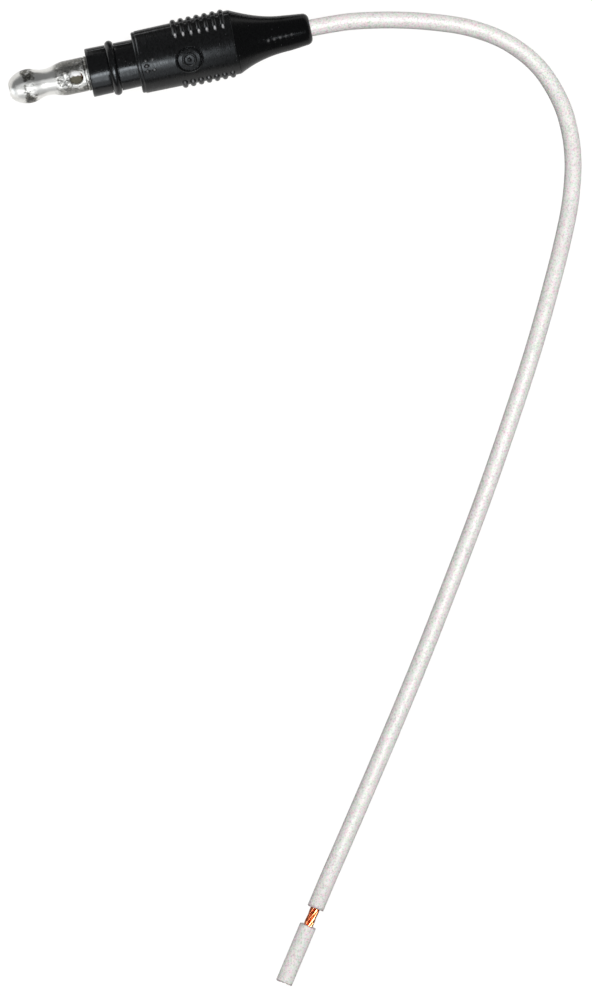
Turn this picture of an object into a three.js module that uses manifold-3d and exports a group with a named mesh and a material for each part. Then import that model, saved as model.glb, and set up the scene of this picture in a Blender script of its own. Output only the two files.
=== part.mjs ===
// Flame sensing lead: a moulded one-pole plug with a tubular bullet contact, a tapered tail boot
// and a white high-temperature lead whose far end is cut ready for stripping.
// Millimetres, +Z up. The plug lies on the plane Z = 0 with its nose towards -X and the
// origin under the middle of its length. The lead leaves at +X and sweeps round on the same plane.
import * as THREE from 'three';
import { mergeVertices } from 'three/addons/utils/BufferGeometryUtils.js';
import Module from 'manifold-3d';

const wasm = await Module();
wasm.setup();
const { degToRad, smoothstep, lerp } = THREE.MathUtils;

// ---- Driving dimensions ----------------------------------------------------------------------

const FIT = 0.03;                 // radial gap between coaxial pieces that are pressed together
const FACE_GAP = 0.05;            // axial gap between pieces that bear on each other
const SIDES = 32;                 // facets round a turned piece
const ROLL = degToRad(16);        // the plug lies rolled about its own axis, +Y side lifted
const CONTACT_ROLL = degToRad(10);    // the contact's drilling lies a little less far over

// Contact: tube with a bullet head, closed at the nose and open at the rear
const NOSE_X = -29.2;
const NOSE_FLAT_R = 1.4;
const HEAD_X = -25.4;
const HEAD_R = 3.25;
const NECK_X = -22.1;
const NECK_R = 2.52;
const BARREL_X = -18.1;
const BARREL_R = 3.27;
const FLANGE_FRONT_X = -2.95;
const FLANGE_REAR_X = -1.6;
const FLANGE_R = 3.97;
const CONTACT_BORE_R = 2.0;
const CONTACT_BORE_END_X = -20.2;
const CONTACT_DRILL_TIP = 0.8;    // length of the bore's conical bottom
const SIGHT_HOLE_X = -16.25;
const SIGHT_HOLE_R = 1.32;
const DENT_X = -18.9;
const DENT_DEPTH = 0.7;
const DENT_TOP_R = 1.0;
const DENT_BOTTOM_R = 0.35;

// Collar: rigid nose of the insulator, with a spigot inside the grip
const COLLAR_FRONT_X = -13.75;
const COLLAR_FRONT_R = 4.66;
const COLLAR_REAR_R = 4.55;
const COLLAR_CHAMFER = 0.15;
const SPIGOT_END_X = 3.0;
const COUNTERBORE_R = 4.0;

// Sealing ring: D section, seated in a groove of the collar
const RING_X = -9.0;
const RING_WIDTH = 1.6;
const RING_R = 5.27;
const RING_SEAT_R = 4.17;

// Washer behind the contact's flange
const WASHER_FRONT_X = FLANGE_REAR_X + FACE_GAP;
const WASHER_THICK = 1.2;
const WASHER_HOLE_R = 1.3;

// Grip: outer shell with two groups of finger ribs and a round recess on top
const SHOULDER_X = -4.5;
const SHOULDER_EDGE = 0.55;
const GRIP_FRONT_R = 6.0;
const GRIP_REAR_R = 6.17;
const GRIP_END_X = 14.6;
const GRIP_REAR_EDGE = 0.15;
const GRIP_STOP_X = 3.3;
const GRIP_CORE_R = 3.6;
const SOCKET_X = 9.6;
const SOCKET_R = 4.95;
const RIB_COUNT = 7;
const RIB_FIRST_X = 3.75;
const RIB_PITCH = 1.54;
const RIB_R = 0.55;
const RIB_CENTRE_R = 6.06;
const RIB_HALF_ANGLE = degToRad(38);
const BADGE_X = 5.45;
const BADGE_R = 2.45;
const BADGE_LAND_R = 2.05;
const BADGE_DEPTH = 0.14;

// Ferrule on the lead inside the grip
const FERRULE_X = 4.4;
const FERRULE_END_X = 9.3;
const FERRULE_R = 2.35;
const FERRULE_LIP_R = 3.4;
const FERRULE_LIP = 0.8;

// Tail boot: tapered strain relief with a spigot in the grip's rear socket
const BOOT_SPIGOT_X = 9.9;
const BOOT_SPIGOT_R = 4.9;
const BOOT_X = GRIP_END_X + FACE_GAP;
const BOOT_FRONT_R = 6.12;
const BOOT_WAIST = [19.6, 3.65];   // where the tangents of the flare's two ends cross
const BOOT_NECK = [24.5, 3.43];
const BOOT_TIP_X = 29.2;
const BOOT_TIP_R = 3.05;
const BOOT_TIP_ROUND = 1.2;
const BOOT_SIDE_SET = -0.45;      // the soft tail has taken a set along Y
const BOOT_SAG = -0.3;            // and sags a little

// Lead
const LEAD_R = 1.6;
const LEAD_BORE_R = 1.0;
const CORE_R = 0.92;
const CORE_FRONT_X = -15.7;
const LEAD_SIDES = 8;
const LEAD_STEPS = 56;
const AXIS_Z = GRIP_REAR_R;       // the grip's rear edge rests on Z = 0
const LAID_Z = LEAD_R + 0.03;     // centre of the lead where it lies on Z = 0

// Route of the lead's centre, from the ferrule to the cut
const ROUTE = [
  [0.4, 0, AXIS_Z],
  [8, 0, AXIS_Z],
  [14.6, 0, AXIS_Z],
  [18.25, -0.07, AXIS_Z - 0.02],
  [21.9, -0.23, AXIS_Z - 0.08],
  [25.55, -0.38, AXIS_Z - 0.17],
  [29.2, -0.45, AXIS_Z - 0.3],
  [33.2, -0.56, 5.6],
  [37, -0.82, 5.15],
  [44.5, -2.1, 3.95],
  [51.9, -4.05, 2.75],
  [59, -6.75, 1.95],
  [65.3, -10.9, 1.66],
  [70.1, -16.7, LAID_Z],
  [72.75, -23.9, LAID_Z],
  [73.3, -29.5, LAID_Z],
  [72.8, -35.2, LAID_Z],
  [70.8, -42.5, LAID_Z],
  [67.8, -49.6, LAID_Z],
  [62.75, -59.8, LAID_Z],
  [57.4, -69.8, LAID_Z],
  [49.7, -83, LAID_Z],
  [41.8, -95.95, LAID_Z],
  [33.5, -108.8, LAID_Z],
  [23, -124.6, LAID_Z],
  [12.2, -140.1, LAID_Z],
  [3.3, -152.6, LAID_Z],
  [-1.56, -159.36, LAID_Z],
  [-5, -164.27, LAID_Z],
];

// Cut end: the loose slug of insulation has been drawn along the bare strands
const END_HEADING = degToRad(235);    // direction of the lead's end, about Z from +X
const STRAND_R = 0.29;
const STRAND_RING_R = 0.62;
const STRAND_RING_COUNT = 6;
const STRAND_LAY = 14;
const STRAND_INSIDE = 3.3;        // strands modelled one by one start this far inside the cut
const STRAND_GAP = 0.3;           // between them and the rod that stands for the rest
const SLUG_LENGTH = 12;
const SLUG_DRAWN = 3.43;
const STRAND_STEPS = 20;

// ---- Materials -------------------------------------------------------------------------------

function finish(color, roughness, metalness) {
  return () => new THREE.MeshStandardMaterial({ color, roughness, metalness });
}

const nickel = finish(0xc9c8c2, 0.22, 1);
const blackPlastic = finish(0x0c0d0f, 0.28, 0);
const blackRubber = finish(0x101113, 0.5, 0);
const steel = finish(0x8e9092, 0.4, 1);
const brass = finish(0xb89a55, 0.35, 1);
const whiteSilicone = finish(0xe9e6e2, 0.42, 0);
const copper = finish(0xb4673a, 0.3, 1);

// ---- Solids ----------------------------------------------------------------------------------

// Revolves an outline of [x, r] pairs about the X axis.
function turned(outline) {
  const points = outline.map(([x, r]) => new THREE.Vector2(r, x));
  return new THREE.LatheGeometry(points, SIDES).rotateZ(-Math.PI / 2);
}

// The same for a piece with a hole along its axis, whose outline closes on itself.
function turnedRing(outline) {
  return turned([...outline, outline[0]]);
}

// Points of an ellipse's arc in [x, r], both ends included.
function arc(centreX, centreR, halfX, halfR, from, to, steps) {
  return Array.from({ length: steps + 1 }, (_, i) => {
    const angle = degToRad(lerp(from, to, i / steps));
    return [centreX + halfX * Math.cos(angle), centreR + halfR * Math.sin(angle)];
  });
}

function solid(geometry) {
  const bare = geometry.clone();
  bare.deleteAttribute('normal');
  bare.deleteAttribute('uv');
  const merged = mergeVertices(bare, 1e-4);
  const corners = merged.index.array;
  const kept = [];
  for (let i = 0; i < corners.length; i += 3) {
    const [a, b, c] = corners.subarray(i, i + 3);
    if (a !== b && b !== c && c !== a) kept.push(a, b, c);
  }
  const mesh = new wasm.Mesh({
    numProp: 3,
    vertProperties: new Float32Array(merged.attributes.position.array),
    triVerts: new Uint32Array(kept),
  });
  return new wasm.Manifold(mesh);
}

function surface(body) {
  const { vertProperties, triVerts } = body.getMesh();
  const geometry = new THREE.BufferGeometry();
  geometry.setAttribute('position', new THREE.BufferAttribute(vertProperties, 3));
  geometry.setIndex(new THREE.BufferAttribute(triVerts, 1));
  geometry.computeVertexNormals();
  return geometry;
}

// A cutter whose axis stands on the plug's axis at x, turned by roll from +Z towards -Y.
function standing(geometry, x, radius, roll) {
  return geometry.rotateX(Math.PI / 2).translate(x, 0, radius).rotateX(roll);
}

function regularPolygon(radius, sides) {
  return Array.from({ length: sides }, (_, i) => {
    const angle = (i / sides) * Math.PI * 2;
    return new THREE.Vector2(radius * Math.cos(angle), radius * Math.sin(angle));
  });
}

function tubeAlong(path, steps, radius, boreRadius = 0) {
  const section = new THREE.Shape(regularPolygon(radius, LEAD_SIDES));
  if (boreRadius > 0) section.holes.push(new THREE.Path(regularPolygon(boreRadius, LEAD_SIDES)));
  return new THREE.ExtrudeGeometry(section, { steps, extrudePath: path, bevelEnabled: false });
}

// ---- Contact ---------------------------------------------------------------------------------

function contactRadius(x) {
  if (x < HEAD_X) {
    const reach = (HEAD_X - NOSE_X) / Math.sqrt(1 - (NOSE_FLAT_R / HEAD_R) ** 2);
    return HEAD_R * Math.sqrt(1 - ((HEAD_X - x) / reach) ** 2);
  }
  if (x < NECK_X) return lerp(HEAD_R, NECK_R, smoothstep(x, HEAD_X, NECK_X));
  return lerp(NECK_R, BARREL_R, smoothstep(x, NECK_X, BARREL_X));
}

function contactPin() {
  const shaped = 14;
  const bullet = Array.from({ length: shaped + 1 }, (_, i) => {
    const x = lerp(NOSE_X, BARREL_X, i / shaped);
    return [x, contactRadius(x)];
  });
  const outline = [
    [NOSE_X, 0],
    ...bullet,
    [FLANGE_FRONT_X, BARREL_R],
    [FLANGE_FRONT_X, FLANGE_R],
    [FLANGE_REAR_X, FLANGE_R],
    [FLANGE_REAR_X, CONTACT_BORE_R],
    [CONTACT_BORE_END_X + CONTACT_DRILL_TIP, CONTACT_BORE_R],
    [CONTACT_BORE_END_X, 0],
  ];
  const drill = new THREE.CylinderGeometry(SIGHT_HOLE_R, SIGHT_HOLE_R, BARREL_R, 16);
  const punch = new THREE.CylinderGeometry(DENT_TOP_R, DENT_BOTTOM_R, DENT_DEPTH * 2, 8);
  const body = solid(turned(outline))
    .subtract(solid(standing(drill, SIGHT_HOLE_X, BARREL_R, CONTACT_ROLL)))
    .subtract(solid(standing(punch, DENT_X, BARREL_R, CONTACT_ROLL)));
  return surface(body);
}

// ---- Insulator -------------------------------------------------------------------------------

function frontCollar() {
  const grooveR = RING_SEAT_R - FIT;
  const grooveHalf = RING_WIDTH / 2 + FACE_GAP;
  const bore = BARREL_R + FIT;
  return turnedRing([
    [COLLAR_FRONT_X, bore],
    [COLLAR_FRONT_X, COLLAR_FRONT_R - COLLAR_CHAMFER],
    [COLLAR_FRONT_X + COLLAR_CHAMFER, COLLAR_FRONT_R],
    [RING_X - grooveHalf, lerp(COLLAR_FRONT_R, COLLAR_REAR_R, 0.5)],
    [RING_X - grooveHalf, grooveR],
    [RING_X + grooveHalf, grooveR],
    [RING_X + grooveHalf, lerp(COLLAR_FRONT_R, COLLAR_REAR_R, 0.6)],
    [SHOULDER_X, COLLAR_REAR_R],
    [SPIGOT_END_X, COLLAR_REAR_R],
    [SPIGOT_END_X, COUNTERBORE_R],
    [FLANGE_FRONT_X - FACE_GAP, COUNTERBORE_R],
    [FLANGE_FRONT_X - FACE_GAP, bore],
  ]);
}

function sealingRing() {
  const half = RING_WIDTH / 2;
  return turnedRing([
    [RING_X + half, RING_SEAT_R],
    [RING_X - half, RING_SEAT_R],
    ...arc(RING_X, RING_R - half, half, half, 180, 0, 6),
  ]);
}

function retainingWasher() {
  const rear = WASHER_FRONT_X + WASHER_THICK;
  return turnedRing([
    [WASHER_FRONT_X, WASHER_HOLE_R],
    [WASHER_FRONT_X, COUNTERBORE_R - FIT],
    [rear, COUNTERBORE_R - FIT],
    [rear, WASHER_HOLE_R],
  ]);
}

// One finger rib: a round-ended bar bent round the grip.
function rib(x, middleAngle) {
  const length = 2 * RIB_HALF_ANGLE * RIB_CENTRE_R;
  const bar = new THREE.CapsuleGeometry(RIB_R, length, 2, 8, 6);
  const place = bar.attributes.position;
  for (let i = 0; i < place.count; i += 1) {
    const angle = middleAngle + place.getY(i) / RIB_CENTRE_R;
    const radius = RIB_CENTRE_R + place.getX(i);
    place.setXYZ(i, x + place.getZ(i), radius * Math.cos(angle), radius * Math.sin(angle));
  }
  return bar;
}

function badgeGroove() {
  const depth = 1;
  const outer = new THREE.CylinderGeometry(BADGE_R, BADGE_R, depth * 2, 24);
  const land = new THREE.CylinderGeometry(BADGE_LAND_R, BADGE_LAND_R, depth * 4, 24);
  const sunk = lerp(GRIP_FRONT_R, GRIP_REAR_R, 0.5) - BADGE_DEPTH;
  const ends = [BADGE_X - BADGE_R * 1.5, BADGE_X + BADGE_R * 1.5];
  const floor = turned([[ends[0], 0], [ends[0], sunk], [ends[1], sunk], [ends[1], 0]]);
  return solid(standing(outer, BADGE_X, GRIP_FRONT_R, ROLL))
    .subtract(solid(standing(land, BADGE_X, GRIP_FRONT_R, ROLL)))
    .subtract(solid(floor));
}

function gripShell() {
  const frontEdge = arc(SHOULDER_X + SHOULDER_EDGE, GRIP_FRONT_R - SHOULDER_EDGE,
    SHOULDER_EDGE, SHOULDER_EDGE, 180, 90, 4);
  let body = solid(turnedRing([
    [SHOULDER_X, COLLAR_REAR_R + FIT],
    ...frontEdge,
    [GRIP_END_X - GRIP_REAR_EDGE, GRIP_REAR_R],
    [GRIP_END_X, GRIP_REAR_R - GRIP_REAR_EDGE],
    [GRIP_END_X, SOCKET_R],
    [SOCKET_X, SOCKET_R],
    [SOCKET_X, GRIP_CORE_R],
    [GRIP_STOP_X, GRIP_CORE_R],
    [GRIP_STOP_X, COLLAR_REAR_R + FIT],
  ]));
  for (const side of [0, Math.PI]) {
    for (let i = 0; i < RIB_COUNT; i += 1) {
      body = body.add(solid(rib(RIB_FIRST_X + i * RIB_PITCH, ROLL + side)));
    }
  }
  return surface(body.subtract(badgeGroove()));
}

// ---- Lead end inside the plug ----------------------------------------------------------------

function leadFerrule() {
  const bore = LEAD_R + FACE_GAP;
  return turnedRing([
    [FERRULE_X, bore],
    [FERRULE_X, FERRULE_R],
    [FERRULE_END_X - FERRULE_LIP, FERRULE_R],
    [FERRULE_END_X - FERRULE_LIP, FERRULE_LIP_R],
    [FERRULE_END_X, FERRULE_LIP_R],
    [FERRULE_END_X, bore],
  ]);
}

function tailBoot() {
  const flare = new THREE.QuadraticBezierCurve(
    new THREE.Vector2(BOOT_X, BOOT_FRONT_R),
    new THREE.Vector2(...BOOT_WAIST),
    new THREE.Vector2(...BOOT_NECK),
  ).getPoints(7).map(({ x, y }) => [x, y]);
  const tip = arc(BOOT_TIP_X - BOOT_TIP_ROUND, BOOT_TIP_R - BOOT_TIP_ROUND,
    BOOT_TIP_ROUND, BOOT_TIP_ROUND, 90, 0, 5);
  const bore = LEAD_R + FACE_GAP;
  const boreStations = 7;
  const wall = Array.from({ length: boreStations + 1 }, (_, i) => (
    [lerp(BOOT_TIP_X, BOOT_X, i / boreStations), bore]));
  const tail = turnedRing([
    [BOOT_SPIGOT_X, bore],
    [BOOT_SPIGOT_X, BOOT_SPIGOT_R],
    [BOOT_X, BOOT_SPIGOT_R],
    ...flare,
    ...tip,
    ...wall,
  ]);
  const place = tail.attributes.position;
  for (let i = 0; i < place.count; i += 1) {
    const along = Math.max(0, (place.getX(i) - BOOT_X) / (BOOT_TIP_X - BOOT_X));
    place.setY(i, place.getY(i) + BOOT_SIDE_SET * smoothstep(along, 0, 1));
    place.setZ(i, place.getZ(i) + BOOT_SAG * along ** 2);
  }
  return tail;
}

// ---- Lead ------------------------------------------------------------------------------------

const route = new THREE.CatmullRomCurve3(ROUTE.map((point) => new THREE.Vector3(...point)));
const cutPoint = new THREE.Vector3(...ROUTE.at(-1));
const endDirection = new THREE.Vector3(Math.cos(END_HEADING), Math.sin(END_HEADING), 0);

// Places a piece made along +Z from the origin on the lead's end, its origin at the cut.
function atCut(geometry) {
  const turn = new THREE.Quaternion().setFromUnitVectors(new THREE.Vector3(0, 0, 1), endDirection);
  return geometry.applyQuaternion(turn).translate(cutPoint.x, cutPoint.y, cutPoint.z);
}

function leadInsulation() {
  return tubeAlong(route, LEAD_STEPS, LEAD_R, LEAD_BORE_R);
}

// The conductor's hidden run as one plain rod, cut short where its strands are modelled singly.
function conductor() {
  const joinX = ROUTE[1][0];
  const front = new THREE.LineCurve3(
    new THREE.Vector3(CORE_FRONT_X, 0, AXIS_Z), new THREE.Vector3(joinX, 0, AXIS_Z));
  const reach = 2 * (STRAND_INSIDE + STRAND_GAP);
  const trim = new THREE.BoxGeometry(2 * LEAD_R, 2 * LEAD_R, reach);
  return surface(solid(tubeAlong(route, LEAD_STEPS, CORE_R))
    .add(solid(tubeAlong(front, 1, CORE_R - FIT)))
    .subtract(solid(atCut(trim))));
}

class StrandPath extends THREE.Curve {
  constructor(radius, startAngle) {
    super();
    this.radius = radius;
    this.startAngle = startAngle;
  }

  getPoint(t, target = new THREE.Vector3()) {
    const z = lerp(-STRAND_INSIDE, SLUG_LENGTH, t);
    const angle = this.startAngle + (z / STRAND_LAY) * Math.PI * 2;
    return target.set(this.radius * Math.cos(angle), this.radius * Math.sin(angle), z);
  }
}

function strand(radius, startAngle) {
  return atCut(tubeAlong(new StrandPath(radius, startAngle), STRAND_STEPS, STRAND_R));
}

function insulationSlug() {
  const run = new THREE.LineCurve3(
    new THREE.Vector3(0, 0, SLUG_DRAWN), new THREE.Vector3(0, 0, SLUG_DRAWN + SLUG_LENGTH));
  return atCut(tubeAlong(run, 2, LEAD_R, LEAD_BORE_R));
}

// ---- Assembly --------------------------------------------------------------------------------

function addPiece(group, name, geometry, material) {
  const mesh = new THREE.Mesh(geometry, material());
  mesh.name = name;
  group.add(mesh);
}

const plug = new THREE.Group();
plug.position.z = AXIS_Z;
addPiece(plug, 'contact_pin', contactPin(), nickel);
addPiece(plug, 'front_collar', frontCollar(), blackPlastic);
addPiece(plug, 'sealing_ring', sealingRing(), blackRubber);
addPiece(plug, 'retaining_washer', retainingWasher(), steel);
addPiece(plug, 'grip_shell', gripShell(), blackPlastic);
addPiece(plug, 'lead_ferrule', leadFerrule(), brass);
addPiece(plug, 'tail_boot', tailBoot(), blackRubber);

const lead = new THREE.Group();
addPiece(lead, 'lead_insulation', leadInsulation(), whiteSilicone);
addPiece(lead, 'conductor', conductor(), copper);
addPiece(lead, 'strand_core', strand(0, 0), copper);
for (let i = 0; i < STRAND_RING_COUNT; i += 1) {
  const startAngle = (i / STRAND_RING_COUNT) * Math.PI * 2;
  addPiece(lead, `strand_${i + 1}`, strand(STRAND_RING_R, startAngle), copper);
}
addPiece(lead, 'insulation_slug', insulationSlug(), whiteSilicone);

const model = new THREE.Group();
model.add(plug, lead);

export default model;
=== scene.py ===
"""Looks of a flame sensing lead: a black moulded bullet plug on a white lead with a part-stripped end.

Shapes are worked out in millimetres in the row frame, and meshes are stored in metres. On the plug, a
place is (x, r, angle): x along the plug, r from its axis, and angle about it from straight up, with
positive angles towards -Y.
"""
import bisect
import math

import bmesh
import bpy
from mathutils import Matrix, Vector, noise


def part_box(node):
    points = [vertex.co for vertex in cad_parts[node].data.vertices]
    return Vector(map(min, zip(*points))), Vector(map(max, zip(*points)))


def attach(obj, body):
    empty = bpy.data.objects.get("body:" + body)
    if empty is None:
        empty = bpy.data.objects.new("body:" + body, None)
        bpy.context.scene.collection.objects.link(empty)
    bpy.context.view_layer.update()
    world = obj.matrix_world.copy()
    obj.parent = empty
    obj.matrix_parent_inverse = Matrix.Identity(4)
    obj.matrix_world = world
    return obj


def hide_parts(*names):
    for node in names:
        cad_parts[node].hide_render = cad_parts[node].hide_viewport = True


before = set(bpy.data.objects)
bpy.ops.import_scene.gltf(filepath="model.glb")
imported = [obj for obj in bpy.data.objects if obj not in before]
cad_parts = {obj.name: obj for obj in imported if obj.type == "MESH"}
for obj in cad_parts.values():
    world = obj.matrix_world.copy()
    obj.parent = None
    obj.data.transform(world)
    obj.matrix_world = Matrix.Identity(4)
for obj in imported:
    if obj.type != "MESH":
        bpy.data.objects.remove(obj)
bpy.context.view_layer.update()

MM = 0.001
TAU = 2 * math.pi


def box_mm(node):
    low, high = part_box(node)
    return low / MM, high / MM


# ---- Sizes, in millimetres, from the frame where it has them ----------------------------------

PIN_BOX = box_mm("contact_pin")
COLLAR_BOX = box_mm("front_collar")
RING_BOX = box_mm("sealing_ring")
GRIP_BOX = box_mm("grip_shell")
BOOT_BOX = box_mm("tail_boot")

AXIS_Z = (PIN_BOX[0].z + PIN_BOX[1].z) / 2
ROLL = math.radians(16)             # the plug lies rolled by this much, its +Y side lifted
CONTACT_ROLL = math.radians(10)
PARTING = math.radians(-60)         # where the mould halves met, and again opposite

NOSE_X = PIN_BOX[0].x
NOSE_FLAT_R = 1.4
HEAD_X, HEAD_R = NOSE_X + 3.8, 3.25
NECK_X, NECK_R = NOSE_X + 7.1, 2.52
BARREL_X, BARREL_R = NOSE_X + 11.1, 3.27
CONTACT_BORE_R = 2.0
CONTACT_BORE_END_X = NOSE_X + 9
FLANGE_R = (PIN_BOX[1].z - PIN_BOX[0].z) / 2
FLANGE_X = (PIN_BOX[1].x - 1.35, PIN_BOX[1].x)
SIGHT_HOLE_X, SIGHT_HOLE_R = -16.25, 1.32
DENT_X = -18.45
LIP_X = COLLAR_BOX[0].x - 0.3

COLLAR_X = (COLLAR_BOX[0].x, COLLAR_BOX[1].x)
COLLAR_R = (COLLAR_BOX[1].y, 4.55)
RING_X = (RING_BOX[0].x + RING_BOX[1].x) / 2
RING_HALF = (RING_BOX[1].x - RING_BOX[0].x) / 2
RING_R = RING_BOX[1].y
RING_SEAT_R = 4.17

SHOULDER_X, GRIP_END_X = GRIP_BOX[0].x, GRIP_BOX[1].x
GRIP_R = (6.0, AXIS_Z)
RIB_COUNT, RIB_FIRST_X, RIB_PITCH = 7, SHOULDER_X + 8.25, 1.54
RIB_R, RIB_CENTRE_R = 0.55, 6.06
RIB_HALF_ANGLE = math.radians(38)
BADGE_X, BADGE_R = SHOULDER_X + 9.95, 2.45
PIP_R, PIP_HEIGHT = 0.34, 0.11
GRIP_PIPS = [(SHOULDER_X + 1.75, ROLL + across / GRIP_R[0]) for across in (-1.5, -0.5, 0.5)]
GRIP_PIPS += [(SHOULDER_X + 3.1, ROLL + across / GRIP_R[0]) for across in (-1.5, 0.5)]

BOOT_X, BOOT_TIP_X = GRIP_END_X + 0.05, BOOT_BOX[1].x
BOOT_SPIGOT_X, BOOT_SPIGOT_R = BOOT_BOX[0].x, 4.9
BOOT_WAIST_R = 3.5
BOOT_SIDE_SET, BOOT_SAG = -0.45, -0.3
BOOT_PIPS = [(BOOT_X + 6.2 + 1.15 * i, math.radians(18)) for i in range(5)]

LEAD_R, LEAD_BORE_R = 1.6, 1.0
LAID_Z = LEAD_R + 0.03
STRAND_R, STRAND_RING_R, STRAND_COUNT = 0.305, 0.614, 6
STRAND_LAY = 14
CORE_FRONT_X = -15.25
END_RINGS = 4                       # rings of points in each cut end of the insulation
SLUG_LENGTH, SLUG_DRAWN = 12, 3.43
# How shiny the lead is at places along Y: handling has dulled it at its end and in the bend
LEAD_SHEEN = [(-163, 0.1), (-152, 0.5), (-72, 0.5), (-54, 0.12), (-20, 0.12), (-12, 0.5)]
END_HEADING = math.radians(235)

# The lead's route from the ferrule to the cut, the same points as the CAD source's
ROUTE = [
    (0.4, 0, AXIS_Z),
    (8, 0, AXIS_Z),
    (14.6, 0, AXIS_Z),
    (18.25, -0.07, AXIS_Z - 0.02),
    (21.9, -0.23, AXIS_Z - 0.08),
    (25.55, -0.38, AXIS_Z - 0.17),
    (29.2, -0.45, AXIS_Z - 0.3),
    (33.2, -0.56, 5.6),
    (37, -0.82, 5.15),
    (44.5, -2.1, 3.95),
    (51.9, -4.05, 2.75),
    (59, -6.75, 1.95),
    (65.3, -10.9, 1.66),
    (70.1, -16.7, LAID_Z),
    (72.75, -23.9, LAID_Z),
    (73.3, -29.5, LAID_Z),
    (72.8, -35.2, LAID_Z),
    (70.8, -42.5, LAID_Z),
    (67.8, -49.6, LAID_Z),
    (62.75, -59.8, LAID_Z),
    (57.4, -69.8, LAID_Z),
    (49.7, -83, LAID_Z),
    (41.8, -95.95, LAID_Z),
    (33.5, -108.8, LAID_Z),
    (23, -124.6, LAID_Z),
    (12.2, -140.1, LAID_Z),
    (3.3, -152.6, LAID_Z),
    (-1.56, -159.36, LAID_Z),
    (-5, -164.27, LAID_Z),
]


# ---- Numbers ---------------------------------------------------------------------------------

def mix(a, b, t):
    return a + (b - a) * t


def smooth(x, low, high):
    t = min(max((x - low) / (high - low), 0.0), 1.0)
    return t * t * (3 - 2 * t)


def smooth_max(a, b, width):
    """The larger of a and b, with a fillet of about that width between them."""
    h = max(width - abs(a - b), 0.0) / width
    return max(a, b) + h * h * width / 4


def wrapped(angle):
    return (angle + math.pi) % TAU - math.pi


def arc(centre_x, centre_r, half_x, half_r, start, end, steps):
    """Points of an ellipse's arc as (x, r), from one angle to the other, in degrees."""
    angles = [math.radians(mix(start, end, i / steps)) for i in range(steps + 1)]
    return [(centre_x + half_x * math.cos(a), centre_r + half_r * math.sin(a)) for a in angles]


def steps_between(start, end, step):
    """Evenly spaced numbers from start to end, both included, about step apart."""
    count = max(1, round(abs(end - start) / step))
    return [mix(start, end, i / count) for i in range(count + 1)]


def sorted_apart(values, least):
    """The values in order, without those that lie closer than least to the one before."""
    kept = []
    for value in sorted(values):
        if not kept or value - kept[-1] >= least:
            kept.append(value)
    return kept


# ---- Meshes ----------------------------------------------------------------------------------

def on_plug(x, r, angle):
    return Vector((x, -r * math.sin(angle), AXIS_Z + r * math.cos(angle)))


def face_outwards(mesh):
    """Turns every face of a closed mesh to look out of it."""
    work = bmesh.new()
    work.from_mesh(mesh)
    bmesh.ops.recalc_face_normals(work, faces=work.faces)
    work.to_mesh(mesh)
    work.free()


def add_piece(name, points, faces, body, replaced=(), sharp=40):
    """A smooth-shaded object from points in millimetres, riding on a body of the frame."""
    mesh = bpy.data.meshes.new(name)
    mesh.from_pydata([p * MM for p in points], [], faces)
    mesh.validate()
    face_outwards(mesh)
    mesh.shade_smooth()
    mesh.set_sharp_from_angle(angle=math.radians(sharp))
    piece = bpy.data.objects.new(name, mesh)
    bpy.context.scene.collection.objects.link(piece)
    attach(piece, body)
    if replaced:
        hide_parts(*replaced)
    return piece


def store_marks_and_painted_light(piece, amounts):
    """Stores at each vertex how far its material shifts the colour there: paler on the mouldings for
    trimmed parting lines and painted highlights, darker at the lead's cut ends as painted shade.
    """
    piece.data.attributes.new("wear_and_painted_light", "FLOAT", "POINT").data.foreach_set("value", amounts)


def mark_trim_and_highlights(piece, mark_at):
    """Marks a moulding of the plug by a function of (x, angle): trimmed parting lines and painted
    highlights, shown paler.
    """
    amounts = []
    for vertex in piece.data.vertices:
        x, y, z = vertex.co / MM
        amounts.append(mark_at(x, math.atan2(-y, z - AXIS_Z)))
    store_marks_and_painted_light(piece, amounts)


def looped_faces(rings, columns, close=True):
    """Quads between rings of points, each closed on itself; close joins the last ring to the first."""
    faces = []
    last = rings if close else rings - 1
    for i in range(last):
        j = (i + 1) % rings
        for k in range(columns):
            m = (k + 1) % columns
            faces.append((i * columns + k, j * columns + k, j * columns + m, i * columns + m))
    return faces


def turned(outline, angles, shape=None):
    """Points of an outline of (x, r) turned about the plug's axis; shape(x, r, angle) may alter r."""
    points = []
    for x, r in outline:
        for angle in angles:
            points.append(on_plug(x, shape(x, r, angle) if shape else r, angle))
    return points


def even_angles(count, extra=()):
    angles = [TAU * i / count - math.pi for i in range(count)]
    return sorted_apart([*angles, *(wrapped(a) for a in extra)], 1e-3)


def ridge_angles(middle, spread=0.05):
    """Angles that sample a thin ridge along the plug."""
    return [middle + spread * t for t in (-1, -0.5, -0.25, 0, 0.25, 0.5, 1)]


PARTING_ANGLES = [a for side in (0, math.pi) for a in ridge_angles(PARTING + side)]


def parting_ridge(r, angle, height=0.035, width=0.07):
    """How far the moulding's parting line stands out at an angle, at radius r."""
    off = min(abs(wrapped(angle - PARTING)), abs(wrapped(angle - PARTING - math.pi))) * r
    return height * max(0.0, 1 - off / width)


def parting_trim_and_highlight(x, angle):
    """The parting lines are trimmed, and painted a little paler along them, partly a painted highlight.
    """
    off = min(abs(wrapped(angle - PARTING)), abs(wrapped(angle - PARTING - math.pi)))
    return 0.35 * max(0.0, 1 - off / 0.045)


# ---- Paths -----------------------------------------------------------------------------------

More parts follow.
